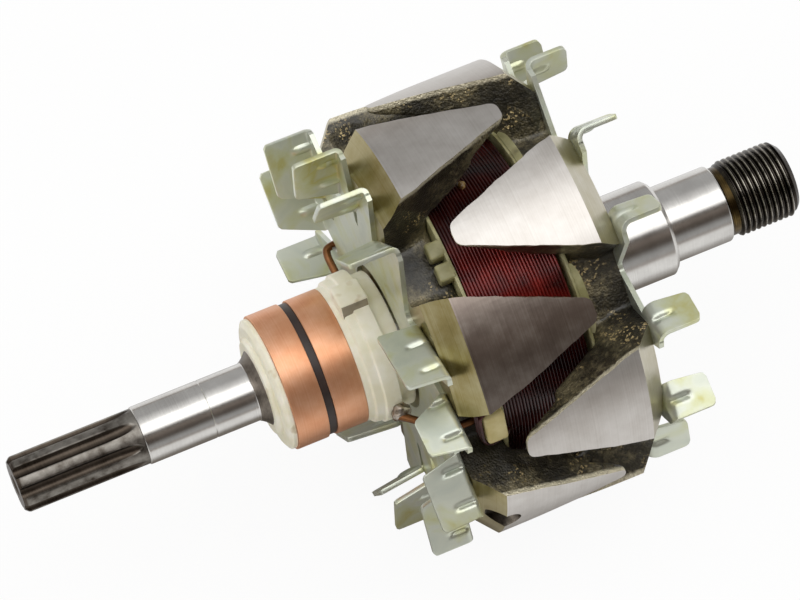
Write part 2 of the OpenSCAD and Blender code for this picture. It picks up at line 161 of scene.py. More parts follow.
# turned iron of the claws: satin grey with rings round the rotor
turnedIron = turnedMetal("turnedIron", {
    "ringMm": 0.45, "cloudMm": 7, "tones": [(0.35, "#b0aaa3"), (0.95, "#cfcbc6")],
    "rough": (0.28, 0.38), "bump": 0.04})
# the same iron in a browner tone, on one claw of the rear pole
brownerIron = turnedMetal("brownerIron", {
    "ringMm": 0.45, "cloudMm": 7, "tones": [(0.35, "#7c7069"), (0.7, "#94887f"), (0.95, "#aaa097")],
    "rough": (0.26, 0.36), "bump": 0.04})
# turned iron under thin yellow varnish, at the chamfers and the faces beside the fans
varnishedIron = turnedMetal("varnishedIron", {
    "ringMm": 0.5, "cloudMm": 8, "tones": [(0.3, "#6f6238"), (0.62, "#9a8d5e"), (1.0, "#b9b08c")],
    "rough": (0.24, 0.4), "bump": 0.06})
# the same faces at the front, in a paler tone
paleVarnishedIron = turnedMetal("paleVarnishedIron", {
    "ringMm": 0.5, "cloudMm": 9, "tones": [(0.3, "#978c68"), (0.6, "#bcb59d"), (1.0, "#d3cfc2")],
    "rough": (0.24, 0.4), "bump": 0.06})
# turned electrolytic copper: pink-orange, brushed by the brushes
turnedCopper = turnedMetal("turnedCopper", {
    "ringMm": 0.35, "cloudMm": 6, "tones": [(0.3, "#d08a62"), (0.65, "#e2a27a"), (1.0, "#eeb996")],
    "rough": (0.33, 0.45), "bump": 0.08, "metallic": 0.82})
# steel flare beside the carrier, left black by the heat treatment
scaledSteel = turnedMetal("scaledSteel", {
    "ringMm": 0.3, "cloudMm": 2, "tones": [(0.3, "#39332d"), (1.0, "#8f867b")],
    "rough": (0.26, 0.45), "bump": 0.5})
# undercut beside the thread, stained brown by baked oil
oiledSteel = turnedMetal("oiledSteel", {
    "ringMm": 0.4, "cloudMm": 5, "tones": [(0.4, "#221c14"), (0.75, "#453820"), (1.0, "#7d6a40")],
    "rough": (0.2, 0.34), "bump": 0.08})
# soft solder at the lead ends: dull silver under brown flux
fluxedSolder = turnedMetal("fluxedSolder", {
    "ringMm": 1.2, "cloudMm": 1.6, "tones": [(0.35, "#4a3524"), (0.65, "#8c7f70"), (1.0, "#c9c2b8")],
    "rough": (0.2, 0.4), "bump": 0.1})
# tinned and varnished copper of the leads, browned by the baking
varnishedCopper = turnedMetal("varnishedCopper", {
    "ringMm": 1.5, "cloudMm": 2, "tones": [(0.3, "#553822"), (1.0, "#8f6240")],
    "rough": (0.25, 0.45), "bump": 0.1})


# drop-forged iron, tumbled and dipped in varnish: olive-black, rough, with painted gold glints, painted
# highlights in scattered patches
def forgedFinish():
    look = {"grainMm": 1.3, "pitMm": 0.6, "cloudMm": 12, "paintedGlintMm": 0.42, "patchMm": 9,
            "burrAndHighlight": (53.7, 54.4), "wear": (0.12, 0.3)}
    material, tree, shader, place = newMaterial("forgedIron")
    cloud = addNode(tree, "TexNoise", {"Scale": 1000 / look["cloudMm"], "Detail": 4.0}, {"Vector": place})
    grain = addNode(tree, "TexNoise", {"Scale": 1000 / look["grainMm"], "Detail": 4.0, "Roughness": 0.7},
                    {"Vector": place})
    pits = addNode(tree, "TexVoronoi", {"Scale": 1000 / look["pitMm"]}, {"Vector": place})
    mixed = addNode(tree, "Math", {"operation": "MULTIPLY_ADD", 1: 0.6}, {0: grain, 2: cloud})
    tone = addNode(tree, "ValToRGB", {"stops": [(0.52, "#14120e"), (0.8, "#3f3a2c"), (1.0, "#857b5e")]},
                   {0: mixed})
    # painted glints: bright gold cells in noise patches stand in for highlights on the forging
    cells = addNode(tree, "TexVoronoi", {"Scale": 1000 / look["paintedGlintMm"]}, {"Vector": place})
    picked = addNode(tree, "MapRange", {"From Min": 0.82, "From Max": 0.88},
                     {0: addNode(tree, "SeparateColor", {}, {0: cells.outputs["Color"]})})
    patches = addNode(tree, "MapRange", {"From Min": 0.55, "From Max": 0.66},
                      {0: addNode(tree, "TexNoise", {"Scale": 1000 / look["patchMm"], "Detail": 2.0},
                                  {"Vector": place})})
    paintedGlint = addNode(tree, "Math", {"operation": "MULTIPLY"}, {0: picked, 1: patches})
    paintedGlintTone = addNode(tree, "Mix", {"data_type": "RGBA", 7: linearColour("#dcc48e")}, {0: paintedGlint, 6: tone})
    # edges that stand proud, rubbed through the varnish
    proud = addNode(tree, "Attribute", {"attribute_name": "wear"})
    rubbed = addNode(tree, "MapRange", {"From Min": look["wear"][0], "From Max": look["wear"][1]},
                     {0: proud.outputs["Fac"]})
    patchy = addNode(tree, "MapRange", {"From Min": 0.4, "From Max": 0.6}, {0: grain})
    bare = addNode(tree, "Math", {"operation": "MULTIPLY"}, {0: rubbed, 1: patchy})
    paintedGlintTone = addNode(tree, "Mix", {"data_type": "RGBA", 7: linearColour("#a3976f")},
                     {0: bare, 6: paintedGlintTone.outputs[2]})
    # burred rim below the turned faces, rubbed pale, and partly a painted highlight along the edge where a
    # bevel would catch light
    ragged = addNode(tree, "Math", {"operation": "ADD"}, {0: axisDistance(tree, place), 1: grain})
    burrAndHighlight = addNode(tree, "MapRange", {"From Min": look["burrAndHighlight"][0] + 0.5, "From Max": look["burrAndHighlight"][1] + 0.5},
                  {0: ragged})
    colour = addNode(tree, "Mix", {"data_type": "RGBA", 7: linearColour("#d9d0b4")},
                     {0: burrAndHighlight, 6: paintedGlintTone.outputs[2]})
    height = addNode(tree, "Math", {"operation": "MULTIPLY_ADD", 1: 0.5},
                     {0: pits.outputs["Distance"], 2: grain})
    relief = addNode(tree, "Bump", {"Strength": 0.9, "Distance": 0.5 * mm}, {"Height": height})
    rough = addNode(tree, "MapRange", {"To Min": 0.2, "To Max": 0.55}, {0: grain})
    setNode(tree, shader, {"Metallic": 0.4, "Coat Weight": 0.6, "Coat Roughness": 0.18},
            {"Base Color": colour.outputs[2], "Roughness": rough, "Normal": relief})
    return material


forgedIron = forgedFinish()


# zinc-plated sheet with clear chromate: greenish white, yellow in patches of thicker film, spread at random
def zincFinish():
    look = {"filmMm": 11, "scratchMm": 2.2, "spotMm": 26}
    material, tree, shader, place = newMaterial("chromatedZinc")
    film = addNode(tree, "TexNoise", {"Scale": 1000 / look["filmMm"], "Detail": 4.0, "Distortion": 0.6},
                   {"Vector": place})
    tone = addNode(tree, "ValToRGB", {"stops": [
        (0.3, "#c6ccc0"), (0.48, "#d3d7c8"), (0.6, "#cdd0ac"), (0.7, "#c3bf80"), (0.8, "#cfd3cc")]},
        {0: film})
    spots = addNode(tree, "MapRange", {"From Min": 0.68, "From Max": 0.76},
                    {0: addNode(tree, "TexNoise", {"Scale": 1000 / look["spotMm"], "Detail": 6.0},
                                {"Vector": place})})
    colour = addNode(tree, "Mix", {"data_type": "RGBA", 7: linearColour("#a88a4a")}, {0: spots, 6: tone})
    scratch = addNode(tree, "TexNoise", {"Scale": 1000 / look["scratchMm"], "Detail": 6.0, "Roughness": 0.7},
                      {"Vector": place})
    rough = addNode(tree, "MapRange", {"To Min": 0.22, "To Max": 0.42}, {0: scratch})
    relief = addNode(tree, "Bump", {"Strength": 0.12, "Distance": 0.05 * mm}, {"Height": scratch})
    setNode(tree, shader, {"Metallic": 0.68},
            {"Base Color": colour.outputs[2], "Roughness": rough, "Normal": relief})
    return material


chromatedZinc = zincFinish()


# moulded nylon: waxy, slightly mottled, with stains of varnish
def nylonFinish(name, tones, stain, rough):
    look = {"mottleMm": 5, "stainMm": 9, "skinMm": 0.8}
    material, tree, shader, place = newMaterial(name)
    mottle = addNode(tree, "TexNoise", {"Scale": 1000 / look["mottleMm"], "Detail": 4.0}, {"Vector": place})
    tone = addNode(tree, "ValToRGB", {"stops": [(0.35, tones[0]), (0.65, tones[1])]}, {0: mottle})
    stained = addNode(tree, "MapRange", {"From Min": 0.64, "From Max": 0.72, "To Max": 0.75},
                      {0: addNode(tree, "TexNoise", {"Scale": 1000 / look["stainMm"], "Detail": 3.0},
                                  {"Vector": place})})
    colour = addNode(tree, "Mix", {"data_type": "RGBA", 7: linearColour(stain)}, {0: stained, 6: tone})
    skin = addNode(tree, "TexNoise", {"Scale": 1000 / look["skinMm"], "Detail": 3.0}, {"Vector": place})
    relief = addNode(tree, "Bump", {"Strength": 0.15, "Distance": 0.08 * mm}, {"Height": skin})
    gloss = addNode(tree, "MapRange", {"To Min": rough - 0.08, "To Max": rough + 0.1}, {0: mottle})
    setNode(tree, shader,
            {"IOR": 1.53, "Subsurface Weight": 0.12, "Subsurface Radius": (0.002, 0.0015, 0.001)},
            {"Base Color": colour.outputs[2], "Roughness": gloss, "Normal": relief})
    return material


ivoryNylon = nylonFinish("ivoryNylon", ("#ebe5ca", "#f5f0df"), "#b59a5c", 0.42)
yellowNylon = nylonFinish("yellowNylon", ("#c9b878", "#ddd09a"), "#8f7a3a", 0.4)
oliveNylon = nylonFinish("oliveNylon", ("#8f8a5e", "#b9b387"), "#5f5632", 0.38)
# painted shade: a darker copy of the ivory nylon, for the lug's shaded end face
paintedShadeNylon = nylonFinish("paintedShadeNylon", ("#8f8470", "#a39882"), "#6f6450", 0.45)
amberVarnish = nylonFinish("amberVarnish", ("#5a3a1a", "#d8b878"), "#3a2412", 0.2)
brownPhenolic = nylonFinish("brownPhenolic", ("#2b1e1a", "#3a2a25"), "#1c1412", 0.45)


# enamelled copper wire, dipped: deep red film over copper, very glossy
def wireFinish():
    look = {"dipMm": 6}
    material, tree, shader, place = newMaterial("enamelledWire")
    dip = addNode(tree, "TexNoise", {"Scale": 1000 / look["dipMm"], "Detail": 4.0}, {"Vector": place})
    tone = addNode(tree, "ValToRGB", {"stops": [(0.3, "#360806"), (0.55, "#70140d"), (0.8, "#9c281e")]},
                   {0: dip})
    # painted shade: outside a band across Y the wire is painted near black, for the shade of the claws over
    # the winding
    height = addNode(tree, "MapRange", {"From Min": -0.04, "From Max": 0.04},
                     {0: addNode(tree, "SeparateXYZ", {}, {0: place}).outputs["Y"]})
    litBand = addNode(tree, "ValToRGB", {"stops": [(0.14, 0.22), (0.24, 1.0), (0.4, 1.0), (0.5, 0.18)]},
                   {0: height})
    tone = addNode(tree, "Mix", {"data_type": "RGBA", 6: linearColour("#160504")}, {0: litBand, 7: tone})
    rough = addNode(tree, "MapRange", {"To Min": 0.18, "To Max": 0.4}, {0: dip})
    setNode(tree, shader,
            {"Metallic": 0.35, "Specular IOR Level": 0.3, "Coat Weight": 0.3, "Coat Roughness": 0.06},
            {"Base Color": tone.outputs[2], "Roughness": rough})
    return material


enamelledWire = wireFinish()
print("materials:", len(bpy.data.materials))


# angles turn about +X from the top towards -Y, as in the solids
def around(x, r, turn):
    a = math.radians(turn)
    return Vector((x, -r * math.sin(a), r * math.cos(a)))


def addObject(name, data):
    added = bpy.data.objects.new(name, data)
    scene.collection.objects.link(added)
    return added


# mesh of an object with its modifiers applied
def finalMesh(source):
    return bpy.data.meshes.new_from_object(source.evaluated_get(bpy.context.evaluated_depsgraph_get()))


def markSharp(mesh, angle):
    bm = bmesh.new()
    bm.from_mesh(mesh)
    bmesh.ops.remove_doubles(bm, verts=bm.verts, dist=2e-7)
    bmesh.ops.dissolve_degenerate(bm, dist=1e-7, edges=bm.edges)
    bmesh.ops.recalc_face_normals(bm, faces=bm.faces)
    limit = math.radians(angle)
    for face in bm.faces:
        face.smooth = True
    for edge in bm.edges:
        beside = edge.link_faces
        split = len(beside) == 2 and beside[0].material_index != beside[1].material_index
        edge.smooth = not split and edge.calc_face_angle(0.0) < limit
    bm.to_mesh(mesh)
    bm.free()


def newPiece(name, points, faces, materials, replaced=(), indices=None, sharp=30):
    mesh = bpy.data.meshes.new(name)
    mesh.from_pydata([Vector(p) * mm for p in points], [], faces)
    for material in materials:
        mesh.materials.append(material)
    if indices:
        mesh.polygons.foreach_set("material_index", indices)
    markSharp(mesh, sharp)
    piece = addObject(name, mesh)
    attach(piece, "root")
    if replaced:
        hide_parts(*replaced)
    return piece


# joins rings of equal count; a ring of one point closes an end
def loft(rings, points, faces, indices, index=0):
    starts = []
    for ring in rings:
        starts.append((len(points), len(ring)))
        points.extend(ring)
    for (a, na), (b, nb) in zip(starts, starts[1:]):
        count = max(na, nb)
        for i in range(count):
            j = (i + 1) % count
            if na == 1:
                faces.append((a, b + j, b + i))
            elif nb == 1:
                faces.append((a + i, a + j, b))
            else:
                faces.append((a + i, a + j, b + j, b + i))
            indices.append(index)


# rounds the corners of an [x, r] profile, so that each edge catches light
def eased(profile, radius, steps=3):
    out = [Vector(profile[0])]
    for before, corner, after in zip(profile, profile[1:], profile[2:]):
        before, corner, after = Vector(before), Vector(corner), Vector(after)
        reach = min(radius, (before - corner).length * 0.45, (after - corner).length * 0.45)
        start = corner + (before - corner).normalized() * reach
        end = corner + (after - corner).normalized() * reach
        for k in range(steps + 1):
            t = k / steps
            out.append(start * (1 - t) ** 2 + corner * 2 * t * (1 - t) + end * t * t)
    return out + [Vector(profile[-1])]


def turnedRings(profile, segments):
    return [[around(x, r, 360 * i / segments) for i in range(segments)] if r > 1e-6 else [Vector((x, 0, 0))]
            for x, r in profile]


def loftPiece(name, rings, material, replaced=(), sharp=30):
    points, faces, indices = [], [], []
    loft(rings, points, faces, indices)
    newPiece(name, points, faces, [material], replaced, indices, sharp)


def turnedPiece(name, profile, material, replaced, segments, ease):
    loftPiece(name, turnedRings(eased(profile, ease), segments), material, replaced)


def buildShaft():
    s = station
    look = {"segments": 144, "ease": 0.25, "rearR": 7.5, "carrierR": 9.7, "coreR": 12.0, "collarR": 15.5,
            "frontR": 12.5, "pulleyR": 10.0, "neckR": 9.0, "scribe": -105.9, "pitch": 1.5, "crest": 9.9,
            "root": 8.98, "endChamfer": 1.7, "teeth": 8, "splineR": 7.2, "grooveHalf": 1.55,
            "grooveDepth": 1.25, "cutterR": 28.0, "runOut": 8.6}
    n, rear, scribe = look["segments"], look["rearR"], look["scribe"]
    crest, root, chamfer = look["crest"], look["root"], look["endChamfer"]
    points, faces, indices = [], [], []
    body = [(s["spline"], 0), (s["spline"], look["splineR"]), (s["spline"] + 0.3, rear),
            (scribe - 0.25, rear), (scribe, 7.36), (scribe + 0.25, rear), (s["rearSeat"] - 0.6, rear),
            (s["rearSeat"] - 0.4, 7.7)]
    flare = [body[-1], (s["rearSeat"], 7.9), (s["rearSeat"] + 0.8, 8.5), (s["boss"] + 0.1, look["carrierR"])]
    front = [flare[-1], (s["rearPlate"], look["carrierR"]), (s["rearPlate"], look["coreR"]),
             (s["collar"], look["coreR"]), (s["collar"], look["collarR"]), (s["shoulder"], look["collarR"]),
             (s["shoulder"], look["frontR"]), (s["pulley"] - 1.2, look["frontR"]), (s["pulley"], 11.3),
             (s["pulley"], look["pulleyR"]), (s["undercut"] - 0.5, look["pulleyR"]),
             (s["undercut"] - 0.2, 9.8)]
    neck = [front[-1], (s["undercut"], 9.5), (s["undercut"] + 0.3, look["neckR"]),
            (s["thread"] + 0.6, look["neckR"]), (s["thread"] + 0.6, 0)]
    for stretch, finish in ((body, 0), (flare, 3), (front, 0), (neck, 4)):
        loft(turnedRings(eased(stretch, look["ease"]), n), points, faces, indices, finish)
    # thread: each turn climbs one pitch, crests cut off by the end chamfer
    profile = [(0.0, root), (0.12, root), (0.55, 9.78), (0.68, crest), (0.82, crest),
               (0.95, 9.78), (1.38, root)]
    rings = []
    turns = int((s["threadEnd"] - s["thread"]) / look["pitch"]) + 3
    for k in range(-1, turns):
        for dx, r in profile:
            ring = []
            for i in range(n):
                turn = 360 * i / n
                x = s["thread"] + k * look["pitch"] + dx + look["pitch"] * turn / 360
                limit = crest - min(chamfer, max(0.0, x - (s["threadEnd"] - chamfer)))
                lead = root + max(0.0, x - s["thread"]) * 0.7
                ring.append(around(min(max(x, s["thread"]), s["threadEnd"]), min(r, limit, lead), turn))
            rings.append(ring)
    loft(turnedRings([(s["thread"], 0), (s["thread"], root)], n), points, faces, indices, 1)
    start, per = len(points), len(profile)
    for ring in rings:
        points.extend(ring)
    for k in range(len(rings) - 1 - per):
        for i in range(n):
            a, b = start + k * n + i, start + (k + 1) * n + i
            if i < n - 1:
                faces.append((a, a + 1, b + 1, b))
            else:  # the last strip runs on into the next turn
                faces.append((a, start + (k + per) * n, start + (k + per + 1) * n, b))
            indices.append(1)
    tip, back = s["threadEnd"], s["splineEnd"]
    cap = [(tip, 8.2), (tip, 3.2), (tip - 1.6, 1.4), (tip - 2.6, 0)]
    loft(turnedRings(cap, n), points, faces, indices, 0)
    # spline: round-bottomed grooves that run out towards the bearing seat
    def splineRing(x, r):
        run = s["spline"] - 0.6 - x
        rise = look["cutterR"] - math.sqrt(max(look["cutterR"] ** 2 - max(0.0, look["runOut"] - run) ** 2, 0))
        floor = look["splineR"] - look["grooveDepth"] + rise * 0.95

        def depth(y):
            return floor + look["grooveDepth"] * (1 - math.sqrt(max(0.0, 1 - (y / look["grooveHalf"]) ** 2)))
        half = 0.02
        while half < look["grooveHalf"] - 0.03 and depth(half) < math.sqrt(r * r - half * half):
            half += 0.03
        ring = []
        for tooth in range(look["teeth"]):
            middle = tooth * 360 / look["teeth"]
            edge = math.degrees(math.asin(half / r))
            for k in range(9):
                y = half * (k / 4 - 1)
                z = min(depth(y), math.sqrt(r * r - y * y))
                ring.append(around(x, math.hypot(y, z), middle + math.degrees(math.atan2(y, z))))
            land = 360 / look["teeth"] - 2 * edge
            for k in range(1, 10):
                ring.append(around(x, r, middle + edge + land * k / 10))
        return ring
    stops = [back + d for d in (0.0, 0.35, 0.8, 1.2)]
    stops += [back + 1.2 + (s["spline"] - 10 - back - 1.2) * k / 8 for k in range(1, 9)]
    stops += [s["spline"] - 10 + k * 0.5 for k in range(1, 20)] + [s["spline"]]
    rings = [[Vector((back + 1.8, 0, 0))]]  # centre hole
    for dx, r in ((1.0, 1.6), (0.0, 3.0)):
        rings.append([around(back + dx, r, 360 * (i - 4) / n) for i in range(n)])
    for x in stops:
        shrink = max(0.0, 1.0 - (x - back)) * 0.9
        rings.append(splineRing(x, look["splineR"] - shrink))
    rings.append([Vector((s["spline"], 0, 0))])
    loft(rings, points, faces, indices, 2)
    finishes = [groundSteel, bluedThread, hardenedSpline, scaledSteel, oiledSteel]
    shaft = newPiece("rotorShaft", points, faces, finishes, ["shaft"], indices, 32)
    print("shaft:", len(shaft.data.polygons), "faces")


# convex edges rub bright: how far each point stands above its neighbours, smoothed a little
def wearEdges(mesh, rounds):
    count = len(mesh.vertices)
    ties = [0] * count
    rise = [0.0] * count
    for edge in mesh.edges:
        a, b = edge.vertices
        run = (mesh.vertices[b].co - mesh.vertices[a].co).normalized()
        rise[a] -= mesh.vertices[a].normal.dot(run)
        rise[b] += mesh.vertices[b].normal.dot(run)
        ties[a] += 1
        ties[b] += 1
    rise = [r / max(k, 1) for r, k in zip(rise, ties)]
    for _ in range(rounds):
        total = list(rise)
        for edge in mesh.edges:
            a, b = edge.vertices
            total[a] += rise[b]
            total[b] += rise[a]
        rise = [t / (k + 1) for t, k in zip(total, ties)]
    mesh.attributes.new("wear", "FLOAT", "POINT").data.foreach_set("value", rise)


# a forging is rounded and rough, and the lathe then cuts its outer faces clean
def buildPole(name, node, faceX, side, chamfer, drill=None):
    look = {"voxel": 0.8, "grow": 2.6, "growFrom": 47, "rounds": 12, "lumpMm": 6.0, "lump": 0.28,
            "grainMm": 1.6, "grain": 0.12, "chamferR": 48.0, "chamferL": 5.8, "half": 24, "segments": 256,
            "wearRounds": 2}
    chamferR, chamferL = look["chamferR"], look["chamferL"]
    blank = cadNodes[node].data.copy()
    for v in blank.vertices:
        p = v.co / mm
        r = math.hypot(p.y, p.z)
        x = p.x
        if r > look["growFrom"]:
            k = (r + look["grow"]) / r
            p.y, p.z = p.y * k, p.z * k
        if abs(x - faceX) < 0.2 or (r > look["growFrom"] and abs(x - faceX) < 7):
            p.x = x - side * look["grow"]
        v.co = p * mm
    piece = addObject(name, blank)
    piece.modifiers.new("forged", "REMESH").mode = "VOXEL"
    piece.modifiers["forged"].voxel_size = look["voxel"] * mm
    soften = piece.modifiers.new("soften", "SMOOTH")
    soften.factor, soften.iterations = 0.5, look["rounds"]
    forged = finalMesh(piece)
    normals = [v.normal.copy() for v in forged.vertices]
    for v, n in zip(forged.vertices, normals):
        p = v.co / mm
        lump = noise.noise(p / look["lumpMm"]) * look["lump"]
        lump += noise.noise(p / look["grainMm"]) * look["grain"]
        v.co += n * lump * mm
    piece.modifiers.clear()
    piece.data = forged
    # the turned body that is left in the lathe
    tip = station["mid"] + side * look["half"]
    profile = [(faceX, 0), (faceX, chamferR), (faceX + side * chamferL, clawRadius),
               (tip, clawRadius), (tip, 0)]
    tools = []

    def cut(label, rings, way):
        points, faces, indices = [], [], []
        loft(rings, points, faces, indices)
        mesh = bpy.data.meshes.new(name + label)
        mesh.from_pydata([p * mm for p in points], [], faces)
        markSharp(mesh, 20)
        tools.append(addObject(name + label, mesh))
        step = piece.modifiers.new(label, "BOOLEAN")
        step.operation, step.object, step.solver = way, tools[-1], "MANIFOLD"
    cut("Lathe", turnedRings(profile, look["segments"]), "INTERSECT")
    if drill:  # balance drilling with the drill's cone
        sides, top, x, r = 64, 60, drill["x"], drill["r"]
        angles = [math.tau * k / sides for k in range(sides)]
        bore = [[Vector((x, 0, drill["floor"] - 1.2))]]
        for z in (drill["floor"], top):
            bore.append([Vector((x + r * math.cos(a), r * math.sin(a), z)) for a in angles])
        bore.append([Vector((x, 0, top))])
        spin = Matrix.Rotation(math.radians(drill["turn"]), 3, "X")
        cut("Drill", [[spin @ p for p in ring] for ring in bore], "DIFFERENCE")
        back = spin.inverted()
    final = finalMesh(piece)
    piece.modifiers.clear()
    piece.data = final
    for used in tools:
        bpy.data.objects.remove(used)
    final.materials.clear()
    for material in (forgedIron, turnedIron, chamfer, scaledSteel, brownerIron):
        final.materials.append(material)
    slope = (clawRadius - chamferR) / chamferL
    for face in final.polygons:
        c, n = face.center / mm, face.normal
        r = math.hypot(c.y, c.z)
        out = (n.y * c.y + n.z * c.z) / max(r, 1e-6)
        face.material_index = 0
        if r > clawRadius - 0.06 and out > 0.98:
            brownerClaw = drill and c.dot(around(0, 1, drill["turn"] - 60)) > 0.85 * r
            face.material_index = 4 if brownerClaw else 1
        elif abs((c.x - faceX) * side * slope - (r - chamferR)) < 0.08 and r > chamferR - 0.1:
            face.material_index = 2
        elif abs(c.x - faceX) < 0.02 and abs(n.x) > 0.98:
            face.material_index = 2
        elif drill:
            q = back @ c
            if q.z > 0 and math.hypot(q.x - drill["x"], q.y) < drill["r"] + 0.05:
                face.material_index = 3
    markSharp(final, 38)
    wearEdges(final, look["wearRounds"])
    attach(piece, "root")
    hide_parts(node)
    print(name + ":", len(final.polygons), "faces")


# pressed sheet: each blade is bent up from its arm, with darts pressed across the bend
def buildFan(name, node, faceX, side, turns, look):
    t, bend, holeR = 1.25, look["bend"], 19.0
    outer, middle = bend + t, bend + t / 2
    # height, length, slant, lean, tip radius, opened, skew
    plain = (look["height"], look["length"], look["slant"], 31.0, 55.0, 0.0, 0.0)
    points, faces, indices = [], [], []
    for turn in turns:
        high0, long0, slant0, lean0, tipR, opened, skew = look["odd"].get(turn, plain)
        # along the section: arm, bend, blade
        bent = math.pi / 2 - math.radians(opened)
        arc = middle * bent
        path = [(-t / 2, -outer - d, -d, (-1, 0)) for d in (0.6, 0.3)]
        for k in range(9):
            a = bent * k / 8
            path.append((-outer + middle * math.cos(a), -outer + middle * math.sin(a), arc * k / 8,
                         (-math.cos(a), -math.sin(a))))
        footX, footY = path[-1][:2]
        steps = 16
        for k in range(1, steps + 1):
            d = (high0 - outer) * k / steps
            path.append((footX - d * math.sin(bent), footY + d * math.cos(bent), arc + d,
                         (-math.cos(bent), -math.sin(bent))))
        grid = []
        for x, y, s, inward in path:
            free = high0 - outer + arc - s  # distance to the free edge
            share = min(1.0, max(0.0, 1 - free / (high0 - outer)))
            low = -long0 + (slant0 + skew) * share
            high = skew * share
            for radius, end in ((look["corner"], "high"), (look["innerCorner"], "low")):
                if free < radius:
                    cutBack = radius - math.sqrt(max(0.0, radius ** 2 - (radius - free) ** 2))
                    if end == "high":
                        high -= cutBack
                    else:
                        low += cutBack
            row = []
            for k in range(look["across"] + 1):
                z = low + (high - low) * k / look["across"]
                push = 0.0
                for dart in look["darts"]:
                    du = (s - arc * 0.3 - look["dartReach"] / 2) / (look["dartReach"] / 2)
                    dv = (z + dart) / look["dartHalf"]
                    if abs(du) < 1 and abs(dv) < 1:
                        push += look["dartDepth"] * (1 - du ** 4) * (1 - dv * dv) ** 1.5
                row.append((x + inward[0] * push, y + inward[1] * push, z))
            grid.append(row)
        lead, rise = math.radians(turn), math.radians(lean0)
        placed = Matrix.Rotation(lead, 4, "X") @ Matrix.Translation((0, 0, tipR))
        placed = placed @ Matrix.Rotation(rise, 4, "X")
        start = len(points)
        wide = look["across"] + 1
        for row in grid:
            for p in row:
                q = placed @ Vector(p)
                points.append(Vector((faceX + side * q.x, q.y, q.z)))
        for a in range(len(grid) - 1):
            for b in range(wide - 1):
                v = start + a * wide + b
                faces.append((v, v + 1, v + wide + 1, v + wide))
                indices.append(0)
    blades = newPiece(name + "Blades", points, faces, [chromatedZinc], (), indices, 180)
    shell = blades.modifiers.new("sheet", "SOLIDIFY")
    shell.thickness, shell.offset = (t - 0.02) * mm, 0.0
    edge = blades.modifiers.new("edge", "BEVEL")
    edge.width, edge.segments, edge.limit_method, edge.angle_limit = 0.22 * mm, 2, "ANGLE", math.radians(60)
    # flat plate with its arms
    curve = bpy.data.curves.new(name + "Outline", "CURVE")
    curve.dimensions, curve.fill_mode = "2D", "BOTH"
    curve.extrude = t / 2 * mm

    def polar(turn, r):
        a = math.radians(turn)
        return Vector((-r * math.sin(a), r * math.cos(a)))
    outline = []
    for i, turn in enumerate(turns):
        after = turns[i + 1] if i + 1 < len(turns) else turns[0] + 360
        long0, lean0, tipR = [look["odd"].get(turn, plain)[k] for k in (1, 3, 4)]
        follower = turns[(i + 1) % len(turns)]
        nextLong, nextLean, nextR = [look["odd"].get(follower, plain)[k] for k in (1, 3, 4)]
        along, across = polar(turn + lean0, 1), polar(turn + lean0 + 90, 1)
        tip = polar(turn, tipR) + outer * across
        ahead = after + nextLean
        end = polar(after, nextR) + outer * polar(ahead + 90, 1) - nextLong * polar(ahead, 1)
        # the notch ends where the next arm starts, some degrees before its blade
        first = turn + max(0.4 * (after - turn), after - turn - 21)
        notch = [tip + look["flat"] * across, polar(min(first, after - 18.5), look["notchR"]),
                 polar(after - 16, look["notchR"] - 0.5), end]
        outline += [tip - long0 * along, tip] + eased(notch, 5.0, 6)[:-1]
    hole = [polar(360 * k / 96, holeR) for k in range(96)]
    for ring in (outline, hole):
        spline = curve.splines.new("POLY")
        spline.points.add(len(ring) - 1)
        for point, p in zip(spline.points, ring):
            point.co = (p.x * mm, p.y * mm, 0, 1)
        spline.use_cyclic_u = True
    flat = addObject(name + "Flat", curve)
    mesh = finalMesh(flat)
    bpy.data.objects.remove(flat)
    for v in mesh.vertices:
        p = v.co.copy()
        v.co = Vector(((faceX - side * t / 2) * mm + side * p.z, p.x, p.y))
    mesh.materials.clear()
    mesh.materials.append(chromatedZinc)
    bm = bmesh.new()
    bm.from_mesh(mesh)
    bmesh.ops.remove_doubles(bm, verts=bm.verts, dist=1e-6)
    bm.to_mesh(mesh)
    bm.free()
    markSharp(mesh, 30)
    plate = addObject(name + "Plate", mesh)
    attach(plate, "root")
    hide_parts(node)
    print(name + ":", len(turns), "blades")


def buildCoil():
    look = {"pitch": 0.82, "strand": 0.41, "outer": 40.0, "inner": 26.3, "half": 12.25, "segments": 220,
            "wander": 0.1}
    count = int(2 * look["half"] / look["pitch"])
    rings = []
    for k in range(count):
        middle = station["mid"] - look["half"] + look["pitch"] * (k + 0.5)
        for a in (-80, -48, -16, 16, 48, 80):
            ring = []
            for i in range(look["segments"]):
                turn = 360 * i / look["segments"]
                angle = math.radians(turn)
                wander = noise.noise(Vector((k * 3.7, math.cos(angle) * 2, math.sin(angle) * 2)))
                sway = noise.noise(Vector((k * 1.3 + 50, turn / 40, 0.3))) * look["wander"]
                rise = look["strand"] * math.cos(math.radians(a)) + look["wander"] * wander
                ring.append(around(middle + look["strand"] * math.sin(math.radians(a)) + sway,
                                   look["outer"] - look["strand"] + rise, turn))
            rings.append(ring)
    first, last = station["mid"] - look["half"], station["mid"] + look["half"]
    rings = turnedRings([(last, look["inner"]), (first, look["inner"])], look["segments"]) + rings
    loftPiece("fieldWinding", rings + rings[:1], enamelledWire, ["field_coil"], 60)
    lumpPiece("varnishBead", around(-32.0, 39.4, -19), 1.5, 4, amberVarnish)
    print("winding:", count, "turns across")


